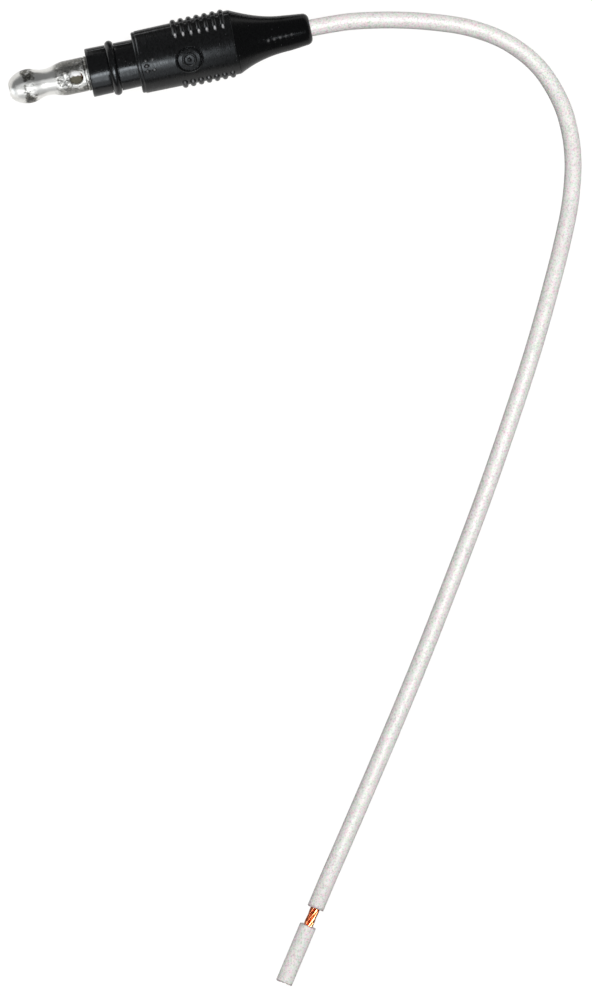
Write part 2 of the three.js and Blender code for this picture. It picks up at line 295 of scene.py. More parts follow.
def route_points(controls, step):
    """Points about step apart on the centripetal Catmull-Rom curve through controls."""
    knots = [Vector(c) for c in controls]
    knots = [2 * knots[0] - knots[1], *knots, 2 * knots[-1] - knots[-2]]
    fine = []
    for a, b, c, d in zip(knots, knots[1:], knots[2:], knots[3:]):
        gaps = [math.sqrt((q - p).length) for p, q in ((a, b), (b, c), (c, d))]
        leave = ((b - a) / gaps[0] - (c - a) / (gaps[0] + gaps[1]) + (c - b) / gaps[1]) * gaps[1]
        arrive = ((c - b) / gaps[1] - (d - b) / (gaps[1] + gaps[2]) + (d - c) / gaps[2]) * gaps[1]
        count = 40
        for i in range(count):
            t = i / count
            fine.append(
                (2 * t**3 - 3 * t**2 + 1) * b + (t**3 - 2 * t**2 + t) * leave
                + (3 * t**2 - 2 * t**3) * c + (t**3 - t**2) * arrive
            )
    fine.append(knots[-2])
    return evenly(fine, step)


def evenly(line, step):
    """The line again, with points about step apart."""
    reached = [0.0]
    for p, q in zip(line, line[1:]):
        reached.append(reached[-1] + (q - p).length)
    points = []
    for along in steps_between(0, reached[-1], step):
        i = min(bisect.bisect_right(reached, along), len(line) - 1)
        t = (along - reached[i - 1]) / (reached[i] - reached[i - 1])
        points.append(line[i - 1].lerp(line[i], min(max(t, 0.0), 1.0)))
    return points


def frames_along(path):
    """(point, sideways, upwards) at each point of a path that never runs straight up."""
    found = []
    for i, point in enumerate(path):
        ahead = (path[min(i + 1, len(path) - 1)] - path[max(i - 1, 0)]).normalized()
        sideways = ahead.cross(Vector((0, 0, 1))).normalized()
        found.append((point, sideways, sideways.cross(ahead)))
    return found


def circle_points(frame_here, r, columns, turn=0.0):
    point, sideways, upwards = frame_here
    angles = [TAU * k / columns + turn for k in range(columns)]
    return [point + r * (math.cos(a) * sideways + math.sin(a) * upwards) for a in angles]


LEAD_PATH = route_points(ROUTE, 0.6)
CUT = LEAD_PATH[-1]
END_DIRECTION = Vector((math.cos(END_HEADING), math.sin(END_HEADING), 0))


def past_cut(start, end, step):
    """Points on the straight line of the lead's end, by their distance from the cut."""
    return [CUT + END_DIRECTION * along for along in steps_between(start, end, step)]


# ---- Materials -------------------------------------------------------------------------------

class Shader:
    """A Principled material with procedural fields in the piece's own millimetres."""

    def __init__(self, name, colour, roughness, metallic=0.0, **inputs):
        self.material = bpy.data.materials.new(name)
        self.material.use_nodes = True
        self.tree = self.material.node_tree
        self.surface = self.tree.nodes["Principled BSDF"]
        self.set(self.surface, {"Base Color": (*colour, 1), "Roughness": roughness, "Metallic": metallic})
        self.set(self.surface, inputs)
        self.places = self.add("ShaderNodeTexCoord").outputs["Object"]
        self.normal = None

    def add(self, kind, values=None, **settings):
        node = self.tree.nodes.new(kind)
        for key, value in settings.items():
            setattr(node, key, value)
        self.set(node, values or {})
        return node

    def set(self, node, values):
        """Each value is a constant for that input, or the socket that feeds it."""
        for key, value in values.items():
            if isinstance(value, bpy.types.NodeSocket):
                self.tree.links.new(value, node.inputs[key])
            else:
                node.inputs[key].default_value = value

    def distance_along(self, axis):
        """The place along one axis of the piece's own frame, in metres."""
        return self.add("ShaderNodeSeparateXYZ", {"Vector": self.places}).outputs[axis]

    def stored(self, name):
        """A field that the mesh holds at its vertices."""
        return self.add("ShaderNodeAttribute", attribute_name=name).outputs["Fac"]

    def maths(self, operation, *terms):
        """A Math node's result, where each term is a number or a socket."""
        return self.add("ShaderNodeMath", dict(enumerate(terms)), operation=operation).outputs["Value"]

    def carried(self, field, low, high, to=(0.0, 1.0)):
        """The field carried in a straight line from one range to another, and held inside it."""
        values = {"Value": field, "From Min": low, "From Max": high, "To Min": to[0], "To Max": to[1]}
        return self.add("ShaderNodeMapRange", values).outputs["Result"]

    def stretched(self, per_mm):
        """Coordinates in which a length of 1 / per_mm millimetres is one unit, by axis."""
        scale = [n / MM for n in per_mm]
        return self.add("ShaderNodeMapping", {"Vector": self.places, "Scale": scale}).outputs["Vector"]

    def noise(self, per_mm, detail=3.0, roughness=0.55):
        """A noise field with about that many features per millimetre along each axis."""
        values = {"Vector": self.stretched(per_mm), "Scale": 1.0,
                  "Detail": detail, "Roughness": roughness}
        return self.add("ShaderNodeTexNoise", values).outputs["Fac"]

    def cells(self, per_mm):
        """Distance to the nearest point of a scatter."""
        values = {"Vector": self.stretched(per_mm), "Scale": 1.0}
        return self.add("ShaderNodeTexVoronoi", values).outputs["Distance"]

    def ramp(self, field, stops):
        """The field carried through a colour ramp of (position, colour or grey) stops."""
        node = self.add("ShaderNodeValToRGB", {"Fac": field})
        ramp = node.color_ramp
        while len(ramp.elements) < len(stops):
            ramp.elements.new(1.0)
        for element, (position, colour) in zip(ramp.elements, stops):
            element.position = position
            grey = not isinstance(colour, (tuple, list))
            element.color = (colour, colour, colour, 1) if grey else (*colour, 1)
        return node.outputs["Color"]

    def mixed(self, factor, a, b, kind="MIX"):
        node = self.add("ShaderNodeMix", data_type="RGBA", blend_type=kind)
        for index, value in ((0, factor), (6, a), (7, b)):
            if isinstance(value, bpy.types.NodeSocket):
                self.tree.links.new(value, node.inputs[index])
            elif isinstance(value, (int, float)):
                node.inputs[index].default_value = value
            else:
                node.inputs[index].default_value = (*value, 1)
        return node.outputs[2]

    def bump(self, field, height_mm, strength=1.0):
        """Adds relief of about that height to what the surface already has."""
        values = {"Height": field, "Distance": height_mm * MM, "Strength": strength}
        if self.normal is not None:
            values["Normal"] = self.normal
        self.normal = self.add("ShaderNodeBump", values).outputs["Normal"]
        self.set(self.surface, {"Normal": self.normal})

    def feed(self, **sockets):
        self.set(self.surface, {key.replace("_", " "): value for key, value in sockets.items()})


def moulded_black(name, gloss, streaks, level=0.5, pale=1.0):
    """Black moulded plastic: a fine skin with marks running round the plug, and specks of dust; it is
    painted paler where the mesh marks trimmed parting lines and painted highlights.
    """
    s = Shader(name, (0.0035, 0.0036, 0.0038), gloss, IOR=1.5)
    s.feed(Specular_IOR_Level=level)
    tint = s.noise((2.6, 2.6, 2.6), detail=4, roughness=0.7)
    mottle = (0.0062 * pale, 0.0064 * pale, 0.0068 * pale)
    skin = s.ramp(tint, [(0.34, (0.0004, 0.0004, 0.0005)), (0.72, mottle)])
    specks = s.ramp(s.cells((1.1, 1.1, 1.1)), [(0.05, 1.0), (0.09, 0.0)])
    dusted = s.mixed(specks, skin, (0.05, 0.05, 0.055))
    patchy = s.ramp(s.noise((2.2, 2.2, 2.2), detail=3), [(0.36, 0.35), (0.6, 1.0)])
    # Painted highlights: the stored marks lighten rib ends, pip tops and parting lines towards pale grey,
    # on the parting lines partly for trimmed flash.
    worn_and_highlit = s.mixed(1.0, patchy, s.stored("wear_and_painted_light"), "MULTIPLY")
    s.feed(Base_Color=s.mixed(worn_and_highlit, dusted, (0.36, 0.36, 0.37)))
    marks = s.noise((4.0, 0.7, 0.7), detail=2, roughness=0.5)
    s.feed(Roughness=s.ramp(marks, [(0.25, gloss - 0.06), (0.8, gloss + 0.12)]))
    s.bump(marks, 0.0065 * streaks)
    s.bump(s.noise((2.6, 2.6, 2.6), detail=2, roughness=0.5), 0.006)
    s.bump(specks, 0.02)
    s.bump(s.noise((0.5, 0.5, 0.5), detail=1), 0.03)
    return s.material


def nickel():
    """Bright plate over drawn brass, worn and stained round the head's crest and the crimp, with dark
    blots that are partly painted dark reflection and are kept off a strip along the pin's middle as seen
    from above.
    """
    s = Shader("nickel_plate", (0.70, 0.69, 0.67), 0.22, metallic=1.0)
    start, end = NOSE_X - 1, SIGHT_HOLE_X + 3
    place = s.carried(s.distance_along("X"), start * MM, end * MM)
    shifted = s.maths("MULTIPLY_ADD", s.noise((0.9, 0.9, 0.9), detail=4), 0.14, place)

    def at(x):
        return (x - start) / (end - start) + 0.07

    # Worn plate round the head's crest and from behind the neck to the sight hole; the darkness at the
    # crest is partly painted dark reflection.
    wear_and_painted_light = s.ramp(shifted, [
        (at(HEAD_X - 1.3), 0.12), (at(HEAD_X - 0.7), 1.0),
        (at(HEAD_X + 1.0), 1.0), (at(HEAD_X + 1.5), 0.0),
        (at(NECK_X + 1.4), 0.0), (at(NECK_X + 2.6), 0.8),
        (at(SIGHT_HOLE_X + 1.5), 0.9),
    ])
    # Painted reflection: the dark blots are fewest on a strip just to the -Y side of the axis, where the
    # pin shows its main highlight, and gather towards its sides.
    aside = s.maths("ABSOLUTE", s.maths("ADD", s.distance_along("Y"), 0.75 * MM))
    painted_reflection_lean = s.carried(aside, 0.5 * MM, 2.3 * MM, to=(0.10, -0.10))
    blots = s.maths("ADD", s.noise((0.75, 1.0, 1.0), detail=6, roughness=0.62), painted_reflection_lean)
    stain_and_dark_reflection = s.mixed(wear_and_painted_light, s.ramp(blots, [(0.2, 0.12), (0.8, 0.0)]),
                    s.ramp(blots, [(0.42, 1.0), (0.50, 0.75), (0.56, 0.0)]))
    shade = s.ramp(s.noise((2.5, 2.5, 2.5), detail=4, roughness=0.7), [
        (0.38, (0.035, 0.036, 0.040)), (0.55, (0.15, 0.145, 0.125)), (0.68, (0.42, 0.41, 0.37))])
    s.feed(Base_Color=s.mixed(stain_and_dark_reflection, (0.78, 0.775, 0.75), shade))
    s.feed(Roughness=s.mixed(stain_and_dark_reflection, (0.30, 0.30, 0.30), (0.42, 0.42, 0.42)))
    s.bump(s.noise((0.8, 1.0, 1.0), detail=1), 0.03)
    rough = s.noise((1.5, 2.0, 2.0), detail=5, roughness=0.6)
    s.bump(s.mixed(wear_and_painted_light, (0.5, 0.5, 0.5), rough), 0.16)
    s.bump(s.noise((14, 2.5, 2.5), detail=3, roughness=0.6), 0.003)
    return s.material


def drawn_bore():
    """The contact's bore: dull brass, painted bright along its +Y side as painted light for the wall lit
    through the sight hole.
    """
    s = Shader("contact_bore", (0.12, 0.115, 0.09), 0.5, metallic=0.25)
    side = s.carried(s.distance_along("Y"), -CONTACT_BORE_R * MM, CONTACT_BORE_R * MM)
    ragged = s.maths("MULTIPLY_ADD", s.noise((1.4, 1.4, 1.4), detail=3), 0.22, side)
    tarnish = s.ramp(s.noise((2, 2, 2), detail=4), [
        (0.3, (0.085, 0.08, 0.06)), (0.7, (0.17, 0.16, 0.12))])
    # Painted light: a bright ragged band along the bore's +Y side stands for its wall lit through the
    # sight hole.
    painted_lit_wall = s.ramp(ragged, [(0.60, 0.0), (0.64, 1.0)])
    s.feed(Base_Color=s.mixed(painted_lit_wall, tarnish, (0.92, 0.93, 0.94)))
    s.bump(s.noise((3, 3, 3), detail=3), 0.03)
    return s.material


def silicone():
    """White lead insulation: faint pink and green speckle, a fine grain, duller stretches, and cut ends
    painted darker as painted shade.
    """
    s = Shader("lead_silicone", (0.80, 0.785, 0.765), 0.36, IOR=1.43)
    s.set(s.surface, {"Subsurface Weight": 0.06, "Subsurface Scale": 0.4 * MM})
    cast = s.noise((1.7, 1.7, 1.7), detail=5, roughness=0.8)
    base = s.ramp(cast, [
        (0.37, (0.73, 0.53, 0.61)), (0.50, (0.74, 0.73, 0.72)), (0.62, (0.55, 0.67, 0.55))])
    grime = s.noise((0.28, 0.28, 0.28), detail=5, roughness=0.6)
    aged = s.mixed(0.55, base, s.ramp(grime, [(0.3, 0.84), (0.7, 1.0)]), "MULTIPLY")
    fleck = s.noise((2.6, 2.6, 2.6), detail=3, roughness=0.7)
    aged = s.mixed(0.8, aged, s.ramp(fleck, [(0.38, 0.66), (0.50, 1.0)]), "MULTIPLY")
    # Painted shade: the lead's cut ends are darkened to a purple grey.
    s.feed(Base_Color=s.mixed(s.stored("wear_and_painted_light"), aged, (0.30, 0.23, 0.25)))
    grain = s.noise((4.5, 4.5, 4.5), detail=5, roughness=0.7)
    s.feed(Roughness=s.ramp(grain, [(0.3, 0.40), (0.75, 0.58)]))
    far_y = LEAD_SHEEN[0][0]
    sheen = [(1 - y / far_y, level) for y, level in LEAD_SHEEN]
    s.feed(Specular_IOR_Level=s.ramp(s.carried(s.distance_along("Y"), far_y * MM, 0.0), sheen))
    s.bump(grain, 0.06)
    s.bump(s.cells((2.6, 2.6, 2.6)), 0.016)
    return s.material


def bare_copper():
    s = Shader("copper", (0.79, 0.37, 0.20), 0.24, metallic=1.0)
    tarnish = s.noise((0.9, 0.9, 0.9), detail=5, roughness=0.65)
    s.feed(Base_Color=s.ramp(tarnish, [
        (0.34, (0.24, 0.050, 0.022)), (0.52, (0.62, 0.175, 0.070)), (0.72, (0.84, 0.36, 0.17))]))
    s.feed(Roughness=s.ramp(s.noise((5, 5, 5), detail=4), [(0.3, 0.14), (0.75, 0.32)]))
    s.bump(s.noise((10, 10, 2), detail=3), 0.004)
    return s.material


def plain_metal(name, colour, dark, roughness):
    """Turned metal of the pieces hidden in the plug."""
    s = Shader(name, colour, roughness, metallic=1.0)
    s.feed(Base_Color=s.ramp(s.noise((1, 1, 1), detail=4), [(0.35, dark), (0.65, colour)]))
    lines = s.noise((12, 1.5, 1.5), detail=3)
    s.feed(Roughness=s.ramp(lines, [(0.3, roughness - 0.1), (0.7, roughness + 0.12)]))
    s.bump(lines, 0.004)
    return s.material


# ---- Contact ---------------------------------------------------------------------------------

def contact_radius(x):
    if x < HEAD_X:
        reach = (HEAD_X - NOSE_X) / math.sqrt(1 - (NOSE_FLAT_R / HEAD_R) ** 2)
        return HEAD_R * math.sqrt(max(0.0, 1 - ((HEAD_X - x) / reach) ** 2))
    if x < NECK_X:
        return mix(HEAD_R, NECK_R, smooth(x, HEAD_X, NECK_X))
    return mix(NECK_R, BARREL_R, smooth(x, NECK_X, BARREL_X))


# Shallow marks of the rolling tools: (x, angle, half width, depth)
CONTACT_DENTS = [
    (HEAD_X + 0.25, math.radians(-28), 1.25, 0.14),
    (HEAD_X + 0.9, math.radians(62), 0.9, 0.12),
    (DENT_X - 1.15, math.radians(12), 0.42, 0.34),
    (-14.7, math.radians(-38), 0.9, 0.12),
    (-14.9, math.radians(55), 0.9, 0.12),
]


def contact_shape(x, r, angle):
    """The crimp's starred punch mark, shallow dents, and the rolled-in rim of the sight hole."""
    across = wrapped(angle - CONTACT_ROLL) * r
    along = x - DENT_X
    turn = math.atan2(across, along)
    off = math.hypot(along, across) / (1.25 * (1 + 0.26 * math.cos(5 * turn + 0.8)))
    sunk = 0.62 * max(0.0, 1 - off) ** 0.85 - 0.07 * max(0.0, 1 - abs(off - 1.12) / 0.3)
    sunk -= 0.07 * max(0.0, 1 - abs(x - LIP_X) / 0.2)
    sunk += 0.12 * max(0.0, 1 - abs(x - LIP_X + 0.36) / 0.14)
    for dent_x, dent_angle, half, depth in CONTACT_DENTS:
        off = math.hypot(x - dent_x, wrapped(angle - dent_angle) * r) / half
        sunk += depth * (1 - smooth(off, 0.0, 1.0))
    off = math.hypot(x - SIGHT_HOLE_X, across) - SIGHT_HOLE_R
    rim = 0.26
    if off < rim:
        sunk += 0.12 * min(1.0, 1 - off / rim) ** 2
    return r - sunk


def contact_pin(material, bore_material):
    edge = 0.12
    nose = arc(NOSE_X + edge, NOSE_FLAT_R - edge, edge, edge, 180, 90, 3)
    bullet_start = NOSE_X + edge * 1.6
    bullet = [(x, contact_radius(x)) for x in steps_between(bullet_start, BARREL_X, 0.1)]
    barrel = [(x, BARREL_R) for x in steps_between(BARREL_X, COLLAR_X[0] + 0.6, 0.07)[1:]]
    rest = [
        (FLANGE_X[0], BARREL_R), (FLANGE_X[0], FLANGE_R), (FLANGE_X[1], FLANGE_R),
        (FLANGE_X[1], CONTACT_BORE_R), (SIGHT_HOLE_X + 3, CONTACT_BORE_R),
        (SIGHT_HOLE_X, CONTACT_BORE_R), (SIGHT_HOLE_X - 3, CONTACT_BORE_R),
        (CONTACT_BORE_END_X, 0.9),
    ]
    outline = [*nose, *bullet, *barrel, *rest]
    fine = [CONTACT_ROLL + math.radians(a) for a in steps_between(-48, 48, 1)]
    angles = even_angles(140, fine)

    def shape(x, r, angle):
        return contact_shape(x, r, angle) if x < COLLAR_X[0] and r > CONTACT_BORE_R + 0.1 else r

    points = turned(outline, angles, shape)
    columns = len(angles)
    faces = looped_faces(len(outline), columns, close=False)
    faces.append(tuple(range(columns)))
    faces.append(tuple(reversed(range(len(points) - columns, len(points)))))
    pin = add_piece("contact", points, faces, "plug_and_lead", ["contact_pin"])
    cut_hole(pin, SIGHT_HOLE_X, CONTACT_ROLL, SIGHT_HOLE_R, BARREL_R)
    pin.data.materials.append(material)
    pin.data.materials.append(bore_material)
    for face in pin.data.polygons:
        x, y, z = face.center / MM
        in_bore = math.hypot(y, z - AXIS_Z) < CONTACT_BORE_R + 0.02
        if in_bore and CONTACT_BORE_END_X < x < FLANGE_X[1] - 0.1:
            face.material_index = 1
    return pin


def cut_hole(piece, x, angle, r, wall_r):
    """Drills one wall of a piece of the plug, from its axis outwards."""
    columns = 64
    upwards = on_plug(0, 1, angle) - on_plug(0, 0, angle)
    ahead = Vector((1, 0, 0))
    sideways = upwards.cross(ahead)
    foot = on_plug(x, 0.5, angle)
    points = []
    for height in (0, wall_r):
        for k in range(columns):
            a = TAU * k / columns
            outwards = math.cos(a) * ahead + math.sin(a) * sideways
            points.append((foot + upwards * height + r * outwards) * MM)
    faces = looped_faces(2, columns, close=False)
    faces += [tuple(reversed(range(columns))), tuple(range(columns, 2 * columns))]
    mesh = bpy.data.meshes.new("drill")
    mesh.from_pydata(points, [], faces)
    face_outwards(mesh)
    drill = bpy.data.objects.new("drill", mesh)
    bpy.context.scene.collection.objects.link(drill)
    cut = piece.modifiers.new("hole", "BOOLEAN")
    cut.operation, cut.solver, cut.object = "DIFFERENCE", "EXACT", drill
    bpy.context.view_layer.update()
    result = bpy.data.meshes.new_from_object(piece.evaluated_get(bpy.context.evaluated_depsgraph_get()))
    piece.modifiers.remove(cut)
    piece.data = result
    result.shade_smooth()
    result.set_sharp_from_angle(angle=math.radians(40))
    bpy.data.objects.remove(drill)


# ---- Collar and ring -------------------------------------------------------------------------

def front_collar(material):
    groove_r, groove_half = RING_SEAT_R - 0.03, RING_HALF + 0.05
    bore, counterbore = BARREL_R + 0.03, 4.0
    front_r, rear_r = COLLAR_R
    edge = 0.22
    near, far = RING_X - groove_half, RING_X + groove_half
    lip = 0.08
    front = [(x, mix(front_r, mix(front_r, rear_r, 0.5), (x - COLLAR_X[0]) / (near - COLLAR_X[0])))
             for x in steps_between(COLLAR_X[0] + edge, near - lip, 0.5)]
    rear = [(x, mix(mix(front_r, rear_r, 0.6), rear_r, smooth(x, far, SHOULDER_X)))
            for x in steps_between(far + lip, SHOULDER_X, 0.5)]
    outline = [
        (COLLAR_X[0], bore + 0.12),
        *arc(COLLAR_X[0] + edge, front_r - edge, edge, edge, 180, 90, 5)[:-1],
        *front,
        *arc(near - lip, front[-1][1] - lip, lip, lip, 90, 0, 3)[1:],
        (near, groove_r), (far, groove_r),
        *arc(far + lip, rear[0][1] - lip, lip, lip, 180, 90, 3)[:-1],
        *rear,
        (COLLAR_X[1], rear_r), (COLLAR_X[1], counterbore),
        (FLANGE_X[0] - 0.05, counterbore), (FLANGE_X[0] - 0.05, bore), (COLLAR_X[0] + 0.12, bore),
    ]

    def shape(x, r, angle):
        outside = r > groove_r + 0.2 and x < SHOULDER_X
        return r + (parting_ridge(r, angle) if outside else 0.0)

    angles = even_angles(128, PARTING_ANGLES)
    faces = looped_faces(len(outline), len(angles))
    collar = add_piece("collar", turned(outline, angles, shape), faces, "plug_and_lead",
                       ["front_collar"])
    # Paler parting lines on the collar: trimmed flash and a painted highlight.
    mark_trim_and_highlights(collar, parting_trim_and_highlight)
    collar.data.materials.append(material)
    return collar


def sealing_ring(material):
    crown = arc(RING_X, RING_R - RING_HALF, RING_HALF, RING_HALF, 180, 0, 20)
    outline = [(RING_X + RING_HALF, RING_SEAT_R), (RING_X - RING_HALF, RING_SEAT_R), *crown]

    def shape(x, r, angle):
        return r + (parting_ridge(r, angle) if r > RING_R - 0.3 else 0.0)

    angles = even_angles(128, PARTING_ANGLES)
    faces = looped_faces(len(outline), len(angles))
    ring = add_piece("seal", turned(outline, angles, shape), faces, "plug_and_lead",
                     ["sealing_ring"])
    ring.data.materials.append(material)
    return ring


# ---- Grip ------------------------------------------------------------------------------------

RIB_XS = [RIB_FIRST_X + i * RIB_PITCH for i in range(RIB_COUNT)]
RIB_MIDDLES = [wrapped(ROLL - math.pi / 2), wrapped(ROLL + math.pi / 2)]


def rib_radius(x, angle):
    """Outer radius of the nearest finger rib's round bar, or less than the shell's away from it."""
    middle = min(RIB_MIDDLES, key=lambda m: abs(wrapped(angle - m)))
    past_end = max(0.0, abs(wrapped(angle - middle)) - RIB_HALF_ANGLE) * RIB_CENTRE_R
    off = math.hypot(min(abs(x - rib_x) for rib_x in RIB_XS), past_end)
    if off >= RIB_R:
        return RIB_CENTRE_R - 3 * (off - RIB_R)
    return RIB_CENTRE_R + math.sqrt(RIB_R**2 - off**2)


def pip_offset(x, r, angle, pips):
    """How far a place is from the middle of the nearest mould pip, each an (x, angle)."""
    return min(math.hypot(x - pip_x, wrapped(angle - pip_angle) * r) for pip_x, pip_angle in pips)


def pips_relief(x, r, angle, pips):
    """Round mould pips, raised."""
    return PIP_HEIGHT * math.sqrt(max(0.0, 1 - (pip_offset(x, r, angle, pips) / PIP_R) ** 2))


def pip_top_highlights(x, r, angle, pips):
    """The tops of the mould pips are painted paler, a painted highlight where they catch the light."""
    return 0.3 * max(0.0, 1 - pip_offset(x, r, angle, pips) / PIP_R)


def badge_relief(x, r, angle):
    """Plain round badge: a fine groove with a kerb round it, and a raised ring and stud inside."""
    off = math.hypot(x - BADGE_X, wrapped(angle - ROLL) * r)
    if off > BADGE_R + 0.3:
        return 0.0
    groove = -0.26 * max(0.0, 1 - abs(off - BADGE_R + 0.14) / 0.2)
    kerb = 0.08 * max(0.0, 1 - abs(off - BADGE_R - 0.12) / 0.14)
    ring = 0.18 * max(0.0, 1 - (abs(off - 1.15) / 0.26) ** 2)
    stud = 0.15 * max(0.0, 1 - (off / 0.42) ** 2)
    return groove + kerb + ring + stud


def grip_shape(x, r, angle):
    if r < GRIP_R[0] - 0.3 or not SHOULDER_X + 0.7 < x < GRIP_END_X - 0.2:
        return r
    r += badge_relief(x, r, angle) + pips_relief(x, r, angle, GRIP_PIPS) + parting_ridge(r, angle)
    return smooth_max(r, rib_radius(x, angle), 0.07)


def grip_trim_and_highlights(x, angle):
    """Paler parting lines, trimmed and partly painted highlight; painted highlights as pale dots at the
    round ends of the finger ribs, most of all on the side that lies up; and painted highlights on the pip
    tops.
    """
    wear_and_painted_light = parting_trim_and_highlight(x, angle) if x < GRIP_END_X - 0.3 else 0.0
    past = 0.06 + 0.03 * (x - RIB_FIRST_X) / (RIB_XS[-1] - RIB_FIRST_X)
    # Painted highlights: a pale dot at the end of each finger rib, full on the row that lies up and faint
    # on the other.
    for middle, side, amount in ((RIB_MIDDLES[0], 1, 1.0), (RIB_MIDDLES[1], -1, 0.3)):
        across = wrapped(angle - middle - side * (RIB_HALF_ANGLE + past)) * RIB_CENTRE_R
        if abs(across) < RIB_R:
            off = math.hypot(min(abs(x - rib_x) for rib_x in RIB_XS) * 1.6, across * 1.15) / RIB_R
            wear_and_painted_light = max(wear_and_painted_light, amount * (1 - smooth(off, 0.3, 0.9)))
    return max(wear_and_painted_light, pip_top_highlights(x, GRIP_R[0], angle, GRIP_PIPS))


def grip_stations():
    """Where along the grip its outer skin is sampled: finely over each rib and the badge."""
    stations = steps_between(SHOULDER_X + 1.0, GRIP_END_X - 0.3, 0.5)
    for rib_x in RIB_XS:
        turns = [math.radians(a) for a in range(-84, 85, 14)]
        stations += [rib_x + RIB_R * math.sin(a) for a in turns]
        stations += [rib_x + side * off for side in (-1, 1) for off in (0.56, 0.6, 0.67)]
    reach = BADGE_R + 0.3
    stations += steps_between(BADGE_X - reach, BADGE_X + reach, 0.07)
    for pip_x in {pip[0] for pip in GRIP_PIPS}:
        stations += steps_between(pip_x - PIP_R, pip_x + PIP_R, 0.085)
    return sorted_apart(stations, 0.03)


def grip_angles():
    """The same round it: finely over the ribs' round ends, the badge and the parting lines."""
    angles = list(PARTING_ANGLES)
    end_turns = [math.asin(min(1.0, t)) for t in (0, 0.2, 0.4, 0.6, 0.75, 0.87, 0.95, 1.0)]
    for middle in RIB_MIDDLES:
        for side in (-1, 1):
            past = [RIB_R * math.sin(t) / RIB_CENTRE_R for t in end_turns]
            past += [0.098, 0.106, 0.118]
            angles += [middle + side * (RIB_HALF_ANGLE + p) for p in past]
    reach = (BADGE_R + 0.3) / GRIP_R[0]
    angles += steps_between(ROLL - reach, ROLL + reach, 0.012)
    angles = [wrapped(a) for a in angles]
    coarse = [a for a in even_angles(110) if min(abs(wrapped(a - b)) for b in angles) > 0.02]
    return sorted_apart([*angles, *coarse], 2e-3)


def grip_shell(material):
    front_r, rear_r = GRIP_R
    seat_r, core_r, socket_r = COLLAR_R[1] + 0.03, 3.6, 4.95
    stop_x, socket_x = COLLAR_X[1] + 0.3, 9.6
    edge, ledge = 0.3, 0.13
    ledge_x = SHOULDER_X + 0.68
    skin = [(x, mix(front_r, rear_r, (x - SHOULDER_X) / (GRIP_END_X - SHOULDER_X)))
            for x in grip_stations()]
    outline = [
        (SHOULDER_X, seat_r + 0.1),
        *arc(SHOULDER_X + edge, front_r - ledge - edge, edge, edge, 180, 90, 6),
        (ledge_x - 0.05, front_r - ledge),
        (ledge_x + 0.02, front_r - 0.05), (ledge_x + 0.12, front_r),
        *skin,
        *arc(GRIP_END_X - 0.07, rear_r - 0.07, 0.07, 0.07, 90, 0, 3),
        (GRIP_END_X, socket_r), (socket_x, socket_r), (socket_x, core_r),
        (stop_x, core_r), (stop_x, seat_r), (SHOULDER_X + 0.1, seat_r),
    ]
    angles = grip_angles()
    faces = looped_faces(len(outline), len(angles))
    grip = add_piece("grip", turned(outline, angles, grip_shape), faces, "plug_and_lead",
                     ["grip_shell"])
    mark_trim_and_highlights(grip, grip_trim_and_highlights)
    grip.data.materials.append(material)
    return grip


# ---- Boot ------------------------------------------------------------------------------------

def boot_curve(count):
    """The flare from the grip to the neck, as a quadratic curve."""
    start, waist, neck = (BOOT_X, 6.12), (BOOT_X + 4.95, 3.65), (BOOT_X + 9.85, 3.43)
    points = []
    for i in range(count + 1):
        t = i / count
        weights = ((1 - t) ** 2, 2 * t * (1 - t), t * t)
        points.append(tuple(sum(w * p[k] for w, p in zip(weights, (start, waist, neck))) for k in (0, 1)))
    return points


def boot_offset(x):
    """How far the soft tail's centre has drifted from the plug's axis."""
    along = max(0.0, (x - BOOT_X) / (BOOT_TIP_X - BOOT_X))
    return Vector((0, BOOT_SIDE_SET * smooth(along, 0, 0.8), BOOT_SAG * along**2))


def tail_boot(material):
    tip_r, tip_round = 3.05, 1.2
    flare = boot_curve(80)
    neck_x, neck_r = flare[-1]
    tip_x = BOOT_TIP_X - tip_round
    taper = [(x, mix(neck_r, tip_r, (x - neck_x) / (tip_x - neck_x)))
             for x in steps_between(neck_x, tip_x, 0.11)[1:-1]]
    bore = LEAD_R + 0.05
    mouth = 0.15
    outline = [
        (BOOT_SPIGOT_X, bore), (BOOT_SPIGOT_X, BOOT_SPIGOT_R), (BOOT_X - 0.04, BOOT_SPIGOT_R),
        (BOOT_X - 0.04, flare[0][1] - 0.06), (BOOT_X + 0.03, flare[0][1] - 0.01),
        *flare[1:],
        *taper,
        *arc(tip_x, tip_r - tip_round, tip_round, tip_round, 90, 12, 9),
        (BOOT_TIP_X, bore + mouth * 1.4), (BOOT_TIP_X - 0.03, bore + mouth * 0.5),
        *[(x, bore) for x in steps_between(BOOT_TIP_X - mouth, BOOT_X, 1.5)],
    ]

    def shape(x, r, angle):
        if r < bore + 0.8 or x < BOOT_X + 0.1:
            return r
        return r + parting_ridge(r, angle, 0.03) + pips_relief(x, r, angle, BOOT_PIPS)

    pip_reach = PIP_R / neck_r
    fine = [BOOT_PIPS[0][1] + a for a in steps_between(-pip_reach, pip_reach, 0.02)]
    angles = even_angles(128, [*PARTING_ANGLES, *fine])
    points = [p + boot_offset(p.x) for p in turned(outline, angles, shape)]
    faces = looped_faces(len(outline), len(angles))
    boot = add_piece("boot", points, faces, "plug_and_lead", ["tail_boot"])
    # Painted highlights on the tops of the boot's pips.
    mark_trim_and_highlights(boot, lambda x, angle: pip_top_highlights(x, BOOT_WAIST_R, angle, BOOT_PIPS))
    boot.data.materials.append(material)
    return boot


# ---- Lead ------------------------------------------------------------------------------------

